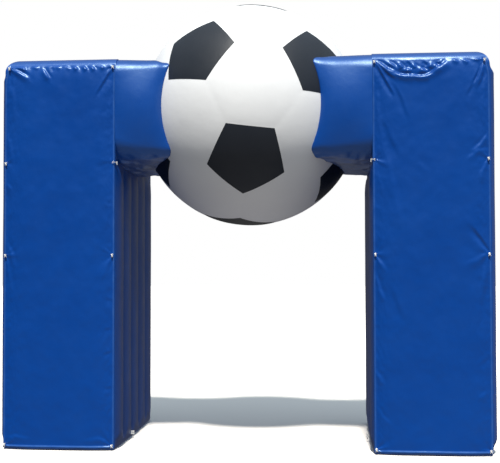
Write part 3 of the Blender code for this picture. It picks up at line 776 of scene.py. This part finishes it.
def crease_lift(crease, across, up):
    """How far one crease lifts the cloth here."""
    line, width, height, lean = crease
    reach = 6.0 * width
    if not min(p[0] for p in line) - reach < across < max(p[0] for p in line) + reach:
        return 0.0
    if not min(p[1] for p in line) - reach < up < max(p[1] for p in line) + reach:
        return 0.0
    here = Vector((across, up))
    best = None
    walked = 0.0
    total = sum((Vector(b) - Vector(a)).length for a, b in zip(line, line[1:]))
    for a, b in zip(line, line[1:]):
        start = Vector(a)
        run = Vector(b) - start
        length = run.length
        part = min(max((here - start).dot(run) / (length * length), 0.0), 1.0)
        offset = here - (start + run * part)
        distance = offset.length
        if best is None or distance < best[0]:
            signed = (run.x * offset.y - run.y * offset.x) / length
            best = (distance, signed, (walked + part * length) / total)
        walked += length
    distance, signed, part = best
    above = signed if line[-1][0] >= line[0][0] else -signed
    ends = 1.0 - 0.75 * abs(2.0 * part - 1.0) ** 3
    width *= 0.8 + 0.4 * part
    slow = width * (1.0 + 1.3 * abs(lean)) if above < 0.0 else width
    trough = abs(lean) * bell(above - 1.6 * width, width) * bell(distance, 2.6 * width)
    return height * ends * (bell(distance, slow) - 0.8 * trough)


def tie_pucker(side, across, up):
    """Fine creases that run out from each tie."""
    lift = 0.0
    for row in EYELET_ROWS:
        if abs(up - row.height) > 0.4:
            continue
        for outer in (False, True):
            away = Vector((across - eyelet_across(row, outer), up - row.height))
            distance = away.length
            if distance > 0.4:
                continue
            angle = math.atan2(away.y, away.x)
            phase = 1.7 * side + 2.3 * row.height + (0.9 if outer else 0.0)
            wave = ripple(2.2 * math.cos(angle) + phase, 2.2 * math.sin(angle), 3.0 * distance + phase)
            lift += 0.013 * wave * ease(distance / 0.03) * math.exp(-distance / 0.11)
    return lift


def banner_edge(up):
    return TOP_CORNER_DRAW * ease((up - (BANNER_HIGH - DRAW_HEIGHT)) / DRAW_HEIGHT)


def edge_distance(across, up):
    """How far in from the nearer upright edge."""
    return min(across - BANNER_EDGE, LEG_WIDTH - BANNER_EDGE - banner_edge(up) - across)


def banner_swell(across):
    share = min(max(across / LEG_WIDTH, 0.0), 1.0)
    return BANNER_CLEARANCE + BANNER_SWELL * (1.0 - abs(2.0 * share - 1.0) ** 4)


def banner_lean(side, across, up):
    """The top of the banner bends back onto the leg."""
    below = BANNER_HIGH - up
    share = min(max(across / LEG_WIDTH, 0.0), 1.0)
    seat = roll_in(BANNER_HIGH, TOP_ROLL) - wall_swell("front", 3, share, BANNER_HIGH)
    reach = banner_swell(across) + seat - BANNER_CLEARANCE
    return reach * (0.72 * math.exp(-below / LEAN_SHORT[side]) + 0.28 * math.exp(-below / LEAN_LONG))


def banner_front(side, across, up):
    """The y of the banner's outer face."""
    swell = banner_swell(across)
    y = FRONT - swell - CLOTH + banner_lean(side, across, up)
    room = min(1.0, swell / (BANNER_SWELL * 0.45))
    lift = sum(crease_lift(crease, across, up) for crease in CREASES[side])
    edge = edge_distance(across, up)
    top = BANNER_HIGH - up
    low = up - BANNER_LOW
    margin = math.exp(-max(edge, 0.0) / 0.12)
    seed = 2.0 * side
    crumple = ripple(across * 20.0 + up * 6.0, up * 11.0, seed)
    crumple += 0.6 * ripple(across * 42.0, up * 27.0, seed + 3.0)
    scallop = ripple(across * 22.0, up * 5.0, seed + 7.0) * math.exp(-max(top, 0.0) / 0.06)
    slack = ripple(across * 2.1, up * 1.1, seed + 1.0)
    slack += 1.5 * ripple(across * 5.5, up * 4.6, seed + 5.0)
    slack += 0.5 * ripple(across * 13.0, up * 12.0, seed + 6.0)
    lift += 0.0042 * crumple * margin + SCALLOP[side] * scallop + 0.0028 * slack
    lift += tie_pucker(side, across, up)
    fade = ease(min(edge, 0.5 * top, low) / 0.02)
    return y - room * fade * lift - hem_bead(edge, top, low)


def hem_bead(edge, top, low):
    """The double turned hem: a soft bead along the sides and a fuller one along the bottom."""
    bead = max(HEM_BEAD * bell(max(edge, 0.0) - 0.008, 0.007), LOW_BEAD * bell(max(low, 0.0) - 0.017, 0.009))
    return bead + HEM_STEP * (1.0 - ease((max(min(edge, top, low), 0.0) - HEM) / 0.003))


def hem_highlight_share(across, up):
    """How much painted highlight shows here: a paler colour along the turned hem's side edges and above the
    bottom hem, standing in for the light the hem's edge catches.
    """
    edge = edge_distance(across, up)
    low = up - BANNER_LOW
    # the painted highlight's strength varies in patches
    highlight_patchiness = 0.75 + 0.45 * ripple(across * 9.0, up * 9.0, 4.0)
    return min(1.0, highlight_patchiness * max(bell(edge - 0.007, 0.008), 1.3 * bell(low - 0.021, 0.007)))


def graded(count, power):
    """Shares from 0 to 1, closer together near both ends."""
    evens = [index / count for index in range(count + 1)]
    return [(1.0 - power) * even + power * (0.5 - 0.5 * math.cos(math.pi * even)) for even in evens]


def build_banner(side):
    columns = graded(150, 0.55)
    rows = graded(320, 0.45)
    points = []
    for row in rows:
        up = blend(BANNER_LOW, BANNER_HIGH, row)
        width = LEG_WIDTH - 2 * BANNER_EDGE - banner_edge(up)
        for column in columns:
            across = BANNER_EDGE + width * column
            points.append(Vector((side * (INNER + across), banner_front(side, across, up), up)))
    points += [point + Vector((0, CLOTH * 0.8, 0)) for point in points]
    wide = len(columns)
    count = wide * len(rows)
    front = [list(range(start, start + wide)) for start in range(0, count, wide)]
    faces = grid_faces(front) + grid_faces([[i + count for i in line] for line in front])
    outer_side = [line[-1] for line in front[1:]]
    inner_side = [line[0] for line in front[-2:0:-1]]
    rim = front[0] + outer_side + front[-1][-2::-1] + inner_side
    for index, here in enumerate(rim):
        following = rim[(index + 1) % len(rim)]
        faces.append((here, following, following + count, here + count))
    banner = add_piece(side_name(side) + "_banner_cloth", points, faces, BANNER_BLUE)
    # each point's share of the painted highlight along the hems
    hem = banner.data.attributes.new("hem", "FLOAT", "POINT")
    hem.data.foreach_set("value", [hem_highlight_share(abs(p.x) - INNER, p.z) for p in points])
    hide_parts(side_name(side) + "_banner")


# Eyelets, ties and ground rings

def eyelet_across(row, outer):
    if outer:
        return LEG_WIDTH - BANNER_EDGE - banner_edge(row.height) - EYELET_INSET
    return BANNER_EDGE + EYELET_INSET


def lathe_ring(middle, axis, outline, steps):
    """Points and faces of a ring turned from a small closed outline of radius and height."""
    turn = axis.to_track_quat("Z", "Y").to_matrix()
    points = []
    for angle in full_turn(steps):
        for radius, height in outline:
            local = Vector((radius * math.cos(angle), radius * math.sin(angle), height))
            points.append(middle + turn @ local)
    return points, ring_faces(steps, len(outline), closed=True)


def ring_outline(radius, half_width, half_height):
    return [(radius + half_width * math.cos(angle), half_height * math.sin(angle)) for angle in full_turn(12)]


def build_eyelet(side, row, outer, name):
    across = eyelet_across(row, outer)
    y = banner_front(side, across, row.height) + CLOTH / 2
    middle = Vector((side * (INNER + across), y, row.height))
    outline = ring_outline((EYELET_OUTER + EYELET_INNER) / 2, (EYELET_OUTER - EYELET_INNER) / 2, EYELET_HALF)
    points, faces = lathe_ring(middle, Vector((0, 1, 0)), outline, 28)
    eyelet = add_piece("metal_" + name, points, faces, METAL)
    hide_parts(name)


def circle_points(middle, first, second, radius, sides):
    return [middle + (first * math.cos(t) + second * math.sin(t)) * radius for t in full_turn(sides)]


def tube_points(path, radius, sides):
    """Points and faces of a closed round tube along a path."""
    points = []
    normal = None
    for index, point in enumerate(path):
        before = path[max(index - 1, 0)]
        after = path[min(index + 1, len(path) - 1)]
        along = (after - before).normalized()
        if normal is None:
            normal = along.cross(Vector((0.31, 0.22, 0.93))).normalized()
        else:
            normal = (normal - along * along.dot(normal)).normalized()
        points += circle_points(point, normal, along.cross(normal), radius, sides)
    faces = ring_faces(len(path), sides)
    faces.append(tuple(range(sides)))
    faces.append(tuple(range(len(points) - sides, len(points))))
    return points, faces


def loop_points(path, radius, sides):
    """Points and faces of a round tube along a closed path."""
    count = len(path)
    normal = path[0].normalized().orthogonal()
    frames = []
    for index, point in enumerate(path):
        along = (path[(index + 1) % count] - path[index - 1]).normalized()
        normal = (normal - along * along.dot(normal)).normalized()
        frames.append((point, along, normal.copy()))
    along, first = frames[0][1:]
    carried = (normal - along * along.dot(normal)).normalized()
    gap = math.atan2(along.dot(carried.cross(first)), carried.dot(first))
    points = []
    for index, (point, along, normal) in enumerate(frames):
        first = Matrix.Rotation(gap * index / count, 3, along) @ normal
        points += circle_points(point, first, along.cross(first), radius, sides)
    return points, ring_faces(count, sides, closed=True)


def smooth_path(points, steps):
    """A smooth curve through a few points."""
    padded = [points[0] * 2 - points[1]] + list(points) + [points[-1] * 2 - points[-2]]
    path = []
    for index in range(1, len(padded) - 2):
        p0, p1, p2, p3 = padded[index - 1:index + 3]
        for step in range(steps):
            t = step / steps
            path.append(0.5 * (2 * p1 + (p2 - p0) * t + (2 * p0 - 5 * p1 + 4 * p2 - p3) * t * t
                               + (3 * p1 - p0 - 3 * p2 + p3) * t ** 3))
    path.append(points[-1].copy())
    return path


def knot_path(middle, outward, spread):
    """Three interlaced turns, drawn tight."""
    size = KNOT.x - KNOT_INSET.x
    depth = KNOT.y - KNOT_INSET.y
    path = []
    for t in full_turn(96):
        aside = (math.sin(t) + 2 * math.sin(2 * t)) / 3
        up = (math.cos(t) - 2 * math.cos(2 * t)) / 3
        path.append(middle + (spread * aside + UP * up) * size - outward * math.sin(3 * t) * depth)
    return path


def knot_core(middle):
    """The closed middle of the knot, inside its turns."""
    return [middle + UP * (KNOT.z - KNOT_INSET.z) * share for share in (-1.0, -0.5, 0.0, 0.5, 1.0)]


def knot_front(side, across, up):
    """How far in front the knot's middle is, clear of the banner round the eyelet and below it."""
    beside = [max(across + step, BANNER_EDGE) for step in (-KNOT.x, 0.0, KNOT.x)]
    heights = [max(up + step, BANNER_LOW) for step in (-TIE_END, 0.0, KNOT.z)]
    return min(banner_front(side, x, z) for x in beside for z in heights) - RING_WIRE - CORD_LIFT


def straight_route(side, row, outer):
    across = eyelet_across(row, outer)
    seat = FRONT + roll_in(row.height, TOP_ROLL) - wall_swell("front", 3, across / LEG_WIDTH, row.height)
    x = side * (INNER + across)
    return [Vector((x, y, row.height)) for y in (knot_front(side, across, row.height), seat - 0.001)]


def corner_route(side, row):
    across = eyelet_across(row, False)
    front = knot_front(side, across, row.height)
    start = (INNER + across, front)
    past_ring = (INNER + across - EYELET_OUTER - CORD_RADIUS, front)
    over = (INNER + BANNER_EDGE - CORD_LIFT, banner_front(side, BANNER_EDGE, row.height) - CORD_LIFT)
    along = 1.0 - CORNER_REACH / LEG_DEPTH
    wall = INNER + roll_in(row.height, 0.0) - wall_swell("inner", 5, along, row.height)
    end = (wall - CORD_LIFT, FRONT + CORNER_REACH)
    return [Vector((side * x, y, row.height)) for x, y in (start, past_ring, over, end)]


def build_tie(side, row, outer, name, number):
    if row.round_corner and not outer:
        route = smooth_path(corner_route(side, row), 7)
        outward = Vector((-side, 0, 0))
        spread = Vector((0, 1, 0))
        middle = route[-1] + outward * KNOT.x * KNOT_SEAT
    else:
        route = straight_route(side, row, outer)
        outward = Vector((0, -1, 0))
        spread = Vector((1, 0, 0))
        middle = route[0] + outward * KNOT.y * KNOT_SEAT
    skins = [tube_points(route, CORD_RADIUS, 10), tube_points(knot_core(middle), KNOT_CORE, 10)]
    for turn in (-1, 1):
        swing = SWING + SWING_CHANGE * math.sin(number * SWING_STEP + turn)
        way = spread * (turn * math.sin(swing)) - UP * math.cos(swing)
        tip = middle + way * TIE_END + outward * CORD_RADIUS
        bend = middle + way * TIE_END * 0.55 + outward * 0.006
        path = smooth_path([middle + outward * CORD_RADIUS, bend, tip], 8)
        skins.append(tube_points(path, CORD_RADIUS, 10))
    skins.append(loop_points(knot_path(middle, outward, spread), KNOT_CORD, 10))
    points = []
    faces = []
    for more, skin in skins:
        faces += [tuple(i + len(points) for i in face) for face in skin]
        points += more
    tie = add_piece("cord_" + name, points, faces, CORD_WHITE)
    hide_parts(name)


def build_ground_ring(side):
    name = side_name(side)
    low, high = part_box(name + "_ground_ring")
    middle = (low + high) / 2
    minor = (high.x - low.x) / 2
    major = (high.z - low.z) / 2 - minor
    points, faces = lathe_ring(middle, Vector((1, 0, 0)), ring_outline(major, minor, minor), 40)
    ring = add_piece(name + "_steel_ring", points, faces, METAL)
    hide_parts(name + "_ground_ring")
    build_ground_tab(side)


def build_ground_tab(side):
    """A webbing tab with a punched hole for the ring."""
    name = side_name(side)
    low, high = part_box(name + "_ground_tab")
    middle = (low + high) / 2
    ring_low, ring_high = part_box(name + "_ground_ring")
    eye_x = (ring_low.x + ring_high.x) / 2
    outline = []
    hole = []
    for angle in full_turn(TAB_STEPS):
        way = heading(angle)
        reach_x = ((high.x if way.x > 0 else low.x) - eye_x) / way.x if abs(way.x) > 1e-6 else 1e9
        reach_z = ((high.z if way.y > 0 else low.z) - middle.z) / way.y if abs(way.y) > 1e-6 else 1e9
        reach = min(abs(reach_x), abs(reach_z))
        outline.append((eye_x + way.x * reach, middle.z + way.y * reach))
        hole.append((eye_x + way.x * TAB_HOLE, middle.z + way.y * TAB_HOLE))
    rings = ((outline, low.y), (hole, low.y), (hole, high.y), (outline, high.y))
    points = [Vector((x, y, z)) for ring, y in rings for x, z in ring]
    faces = ring_faces(len(rings), TAB_STEPS, closed=True)
    tab = add_piece(name + "_webbing_tab", points, faces, CORD_WHITE)
    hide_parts(name + "_ground_tab")


# Stage

def build_floor():
    material, nodes, links = new_material("pale_floor")
    shader = nodes["Principled BSDF"]
    patch = noise_node(nodes, links, 0.7, 4.0)
    color = mix_colors(nodes, links, patch, (0.92, 0.87, 0.82), (0.94, 0.89, 0.84))
    links.new(color, shader.inputs["Base Color"])
    set_values(shader, {"Roughness": 0.9, "Specular IOR Level": 0.1})
    mesh = bpy.data.meshes.new("floor")
    half = 70.0
    corners = [(-half, -half, 0), (half, -half, 0), (half, half, 0), (-half, half, 0)]
    mesh.from_pydata(corners, [], [(0, 1, 2, 3)])
    mesh.materials.append(material)
    floor = bpy.data.objects.new("floor", mesh)
    bpy.context.scene.collection.objects.link(floor)
    floor.visible_diffuse = False
    floor.visible_glossy = False


# The sky's brightness from straight down to straight up, in front of the arch and behind it
FRONT_SKY = ((0.0, 0.56), (0.20, 0.48), (0.34, 0.27), (0.44, 0.14), (0.57, 0.12), (0.65, 0.20), (0.75, 0.62),
             (0.88, 0.85), (1.0, 0.95))
BACK_SKY = ((0.0, 0.56), (0.20, 0.44), (0.34, 0.09), (0.42, 0.15), (0.56, 0.15), (0.61, 0.10), (0.68, 0.28),
            (0.80, 0.60), (1.0, 0.90))
SKY_ABOVE = (0.72, 0.87, 1.0)
SKY_BELOW = (1.0, 0.98, 0.97)


def sky_levels(nodes, links, up, stops, bluish_from):
    """The sky's colour by height: neutral below and bluish above."""
    levels = nodes.new("ShaderNodeValToRGB")
    links.new(ramp(nodes, links, up, 0.0, 1.0, -1.0, 1.0), levels.inputs["Fac"])
    points = levels.color_ramp.elements
    while len(points) < len(stops):
        points.new(0.5)
    for point, (place, level) in zip(points, stops):
        tint = SKY_ABOVE if place > bluish_from else SKY_BELOW
        point.position = place
        point.color = (*(level * part for part in tint), 1.0)
    return levels.outputs["Color"]


def build_world():
    """A white backdrop all round, and a soft sky: dim near the horizon and bright above."""
    world = bpy.data.worlds.new("studio")
    bpy.context.scene.world = world
    world.use_nodes = True
    nodes = world.node_tree.nodes
    links = world.node_tree.links
    nodes.clear()
    output = nodes.new("ShaderNodeOutputWorld")
    seen = set_values(nodes.new("ShaderNodeBackground"), {"Color": (1.0, 1.0, 1.0, 1.0), "Strength": 1.0})
    sky = nodes.new("ShaderNodeBackground")
    coordinates = nodes.new("ShaderNodeTexCoord")
    split = nodes.new("ShaderNodeSeparateXYZ")
    links.new(coordinates.outputs["Generated"], split.inputs["Vector"])
    front = sky_levels(nodes, links, split.outputs["Z"], FRONT_SKY, 0.58)
    back = sky_levels(nodes, links, split.outputs["Z"], BACK_SKY, 0.60)
    behind = ramp(nodes, links, split.outputs["Y"], 0.0, 1.0, -0.25, 0.45)
    links.new(mix_colors(nodes, links, behind, front, back), sky.inputs["Color"])
    aside = ramp(nodes, links, split.outputs["X"], 0.64, 1.36, -1.0, 1.0)
    links.new(aside, sky.inputs["Strength"])
    path = nodes.new("ShaderNodeLightPath")
    mix = nodes.new("ShaderNodeMixShader")
    links.new(path.outputs["Is Camera Ray"], mix.inputs["Fac"])
    links.new(sky.outputs["Background"], mix.inputs[1])
    links.new(seen.outputs["Background"], mix.inputs[2])
    links.new(mix.outputs["Shader"], output.inputs["Surface"])


def build_lights():
    data = bpy.data.lights.new("key", "SUN")
    data.energy = 5.0
    data.angle = math.radians(5.0)
    data.color = (1.0, 0.97, 0.905)
    key = bpy.data.objects.new("key", data)
    high = math.radians(SUN_HEIGHT)
    aside = math.radians(SUN_ASIDE)
    toward = Vector((math.sin(aside) * math.cos(high), -math.cos(aside) * math.cos(high), math.sin(high)))
    key.rotation_euler = toward.to_track_quat("Z", "Y").to_euler()
    bpy.context.scene.collection.objects.link(key)


def build_camera():
    data = bpy.data.cameras.new("camera")
    data.lens = FOCAL
    data.sensor_width = SENSOR
    data.clip_end = 300.0
    camera = bpy.data.objects.new("camera", data)
    turn = Matrix.Identity(3)
    for degrees, axis in ((CAMERA_YAW, "Z"), (CAMERA_PITCH, "X"), (CAMERA_ROLL, "Y"), (90.0, "X")):
        turn = turn @ Matrix.Rotation(math.radians(degrees), 3, axis)
    camera.matrix_world = Matrix.Translation(CAMERA_PLACE) @ turn.to_4x4()
    bpy.context.scene.collection.objects.link(camera)
    bpy.context.scene.camera = camera


def build_arch():
    build_ball()
    number = 0
    for side in (-1, 1):
        build_leg(side)
        build_arm(side)
        build_banner(side)
        for row in EYELET_ROWS:
            for outer in (False, True):
                place = f"{side_name(side)}_{'outer' if outer else 'inner'}_{row.name}"
                build_eyelet(side, row, outer, "eyelet_" + place)
                build_tie(side, row, outer, "tie_" + place, number)
                number += 1
        build_ground_ring(side)


build_camera()
build_world()
build_lights()
build_floor()
build_arch()
bpy.context.scene.view_settings.view_transform = "Standard"
